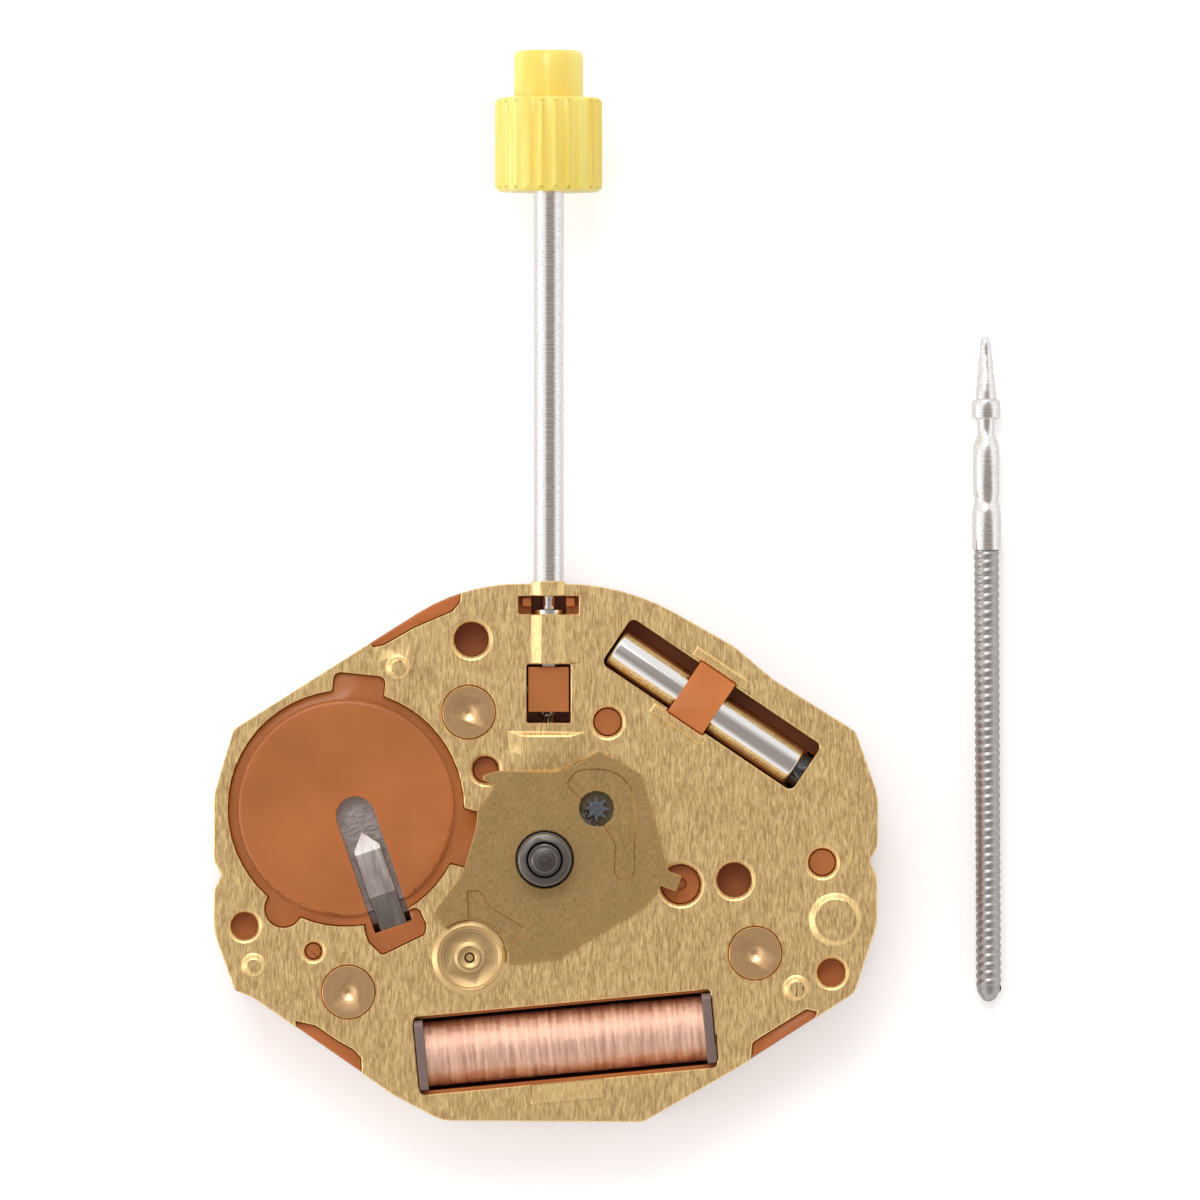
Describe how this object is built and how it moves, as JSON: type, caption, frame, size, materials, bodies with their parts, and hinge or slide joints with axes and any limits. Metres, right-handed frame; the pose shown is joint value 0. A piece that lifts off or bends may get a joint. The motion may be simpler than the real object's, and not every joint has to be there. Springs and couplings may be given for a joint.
{
  "type": "quartz watch movement",
  "caption": "Slim quartz watch movement seen from its dial side, with hand posts, coil, crystal, cell and a setting stem with a fluted yellow knob, and a loose threaded stem.",
  "frame": {"origin": "on the hand axis, at the height where the dial rests and the hour hand's seat begins", "axes": "+Z towards the dial side, +Y out along the setting stem, +X to the right in a view of the dial side"},
  "size_m": [0.0181, 0.0245, 0.0035],
  "materials": {
    "plate_brass": "brushed, satin",
    "bearing_brass": "turned",
    "pillar_brass": "polished, rosy",
    "cover_plate": "satin, olive",
    "amber_plastic": "moulded, glossy",
    "cell_steel": "satin",
    "spring_steel": "rolled",
    "bridge_plastic": "moulded",
    "board": "coated",
    "resin": "glossy drop",
    "insulator_plastic": "moulded",
    "cover_steel": "brushed",
    "screw_steel": "polished",
    "soft_iron": "annealed",
    "copper_wire": "wound enamelled wire",
    "flange_plastic": "moulded",
    "crystal_steel": "drawn, mirror bright",
    "seal_glass": "dark glass",
    "wheel_brass": "satin",
    "pinion_steel": "polished",
    "hand_seat_steel": "dark, turned",
    "motion_wheel_brass": "satin",
    "magnet": "ground",
    "stem_steel": "polished",
    "knob_plastic": "translucent yellow"
  },
  "bodies": {
    "movement": {"main_plate": "plate_brass", "rotor_bearing": "bearing_brass", "pillars": "pillar_brass", "motion_work_cover": "cover_plate", "module_frame": "amber_plastic", "battery": "cell_steel", "battery_contact": "spring_steel", "train_bridge": "bridge_plastic", "circuit_board": "board", "chip": "resin", "circuit_insulator": "insulator_plastic", "back_cover": "cover_steel", "cover_screws": "screw_steel", "coil_core": "soft_iron", "stator": "soft_iron", "coil_winding": "copper_wire", "coil_flanges": "flange_plastic", "crystal_can": "crystal_steel", "crystal_base": "seal_glass", "loose_stem": "stem_steel"},
    "rotor": {"rotor_pinion": "pinion_steel", "rotor_magnet": "magnet"},
    "intermediate": {"intermediate_wheel": "wheel_brass", "intermediate_pinion": "pinion_steel"},
    "third": {"third_wheel": "wheel_brass", "third_pinion": "pinion_steel"},
    "centre": {"centre_wheel": "wheel_brass", "centre_arbor": "pinion_steel", "cannon_pinion": "hand_seat_steel"},
    "minute": {"minute_wheel": "motion_wheel_brass", "minute_pinion": "pinion_steel"},
    "hour": {"hour_wheel": "hand_seat_steel"},
    "setting": {"setting_wheel": "motion_wheel_brass"},
    "clutch": {"clutch_slider": "amber_plastic"},
    "sliding_pinion": {"sliding_pinion": "pinion_steel"},
    "stem": {"setting_stem": "stem_steel", "setting_knob": "knob_plastic"},
    "lever": {"setting_lever": "pinion_steel"},
    "yoke": {"yoke": "pinion_steel"}
  },
  "joints": [
    {"name": "intermediate_turn", "type": "hinge", "parent": "movement", "child": "intermediate", "pos_m": [-0.00068, -0.00154, -0.00154], "axis": [0, 0, 1], "continuous": true},
    {"name": "rotor_turn", "type": "hinge", "parent": "movement", "child": "rotor", "pos_m": [-0.00172, -0.00225, -0.00125], "axis": [0, 0, 1], "continuous": true},
    {"name": "third_turn", "type": "hinge", "parent": "movement", "child": "third", "pos_m": [0.00028, -0.0016, -0.00095], "axis": [0, 0, 1], "continuous": true},
    {"name": "centre_turn", "type": "hinge", "parent": "movement", "child": "centre", "pos_m": [0, 0, -0.00068], "axis": [0, 0, 1], "continuous": true},
    {"name": "minute_turn", "type": "hinge", "parent": "movement", "child": "minute", "pos_m": [0.00119, 0.00116, -0.00034], "axis": [0, 0, 1], "continuous": true},
    {"name": "hour_turn", "type": "hinge", "parent": "movement", "child": "hour", "pos_m": [0, 0, -0.0002], "axis": [0, 0, 1], "continuous": true},
    {"name": "setting_wheel_turn", "type": "hinge", "parent": "movement", "child": "setting", "pos_m": [0.00009, 0.00248, -0.00036], "axis": [0, 0, 1], "continuous": true},
    {"name": "clutch_shift", "type": "slide", "parent": "movement", "child": "clutch", "axis": [0, 1, 0], "range_m": [-0.00022, 0]},
    {"name": "stem_turn", "type": "hinge", "parent": "clutch", "child": "sliding_pinion", "pos_m": [0.00009, 0.00385, -0.00068], "axis": [0, 1, 0], "continuous": true},
    {"name": "stem_pull", "type": "slide", "parent": "sliding_pinion", "child": "stem", "axis": [0, 1, 0], "range_m": [0, 0.00072]},
    {"name": "setting_lever_swing", "type": "hinge", "parent": "movement", "child": "lever", "pos_m": [-0.0009, 0.00515, -0.00068], "axis": [0, 0, 1], "range_deg": [0, 42.13]},
    {"name": "yoke_swing", "type": "hinge", "parent": "movement", "child": "yoke", "pos_m": [-0.00103, 0.00378, -0.00068], "axis": [0, 0, 1], "range_deg": [-19.26, 0]}
  ],
  "couplings": [
    {"joint": "rotor_turn", "follows": "intermediate_turn", "ratio": -6},
    {"joint": "third_turn", "follows": "intermediate_turn", "ratio": -0.33333},
    {"joint": "centre_turn", "follows": "intermediate_turn", "ratio": 0.066667},
    {"joint": "minute_turn", "follows": "intermediate_turn", "ratio": -0.033333},
    {"joint": "hour_turn", "follows": "intermediate_turn", "ratio": 0.0055556},
    {"joint": "setting_wheel_turn", "follows": "intermediate_turn", "ratio": 0.06},
    {"joint": "clutch_shift", "follows": "stem_pull", "ratio": -0.30556},
    {"joint": "setting_lever_swing", "follows": "stem_pull", "rad_per_m": 1019.9},
    {"joint": "yoke_swing", "follows": "stem_pull", "rad_per_m": -465.67}
  ]
}
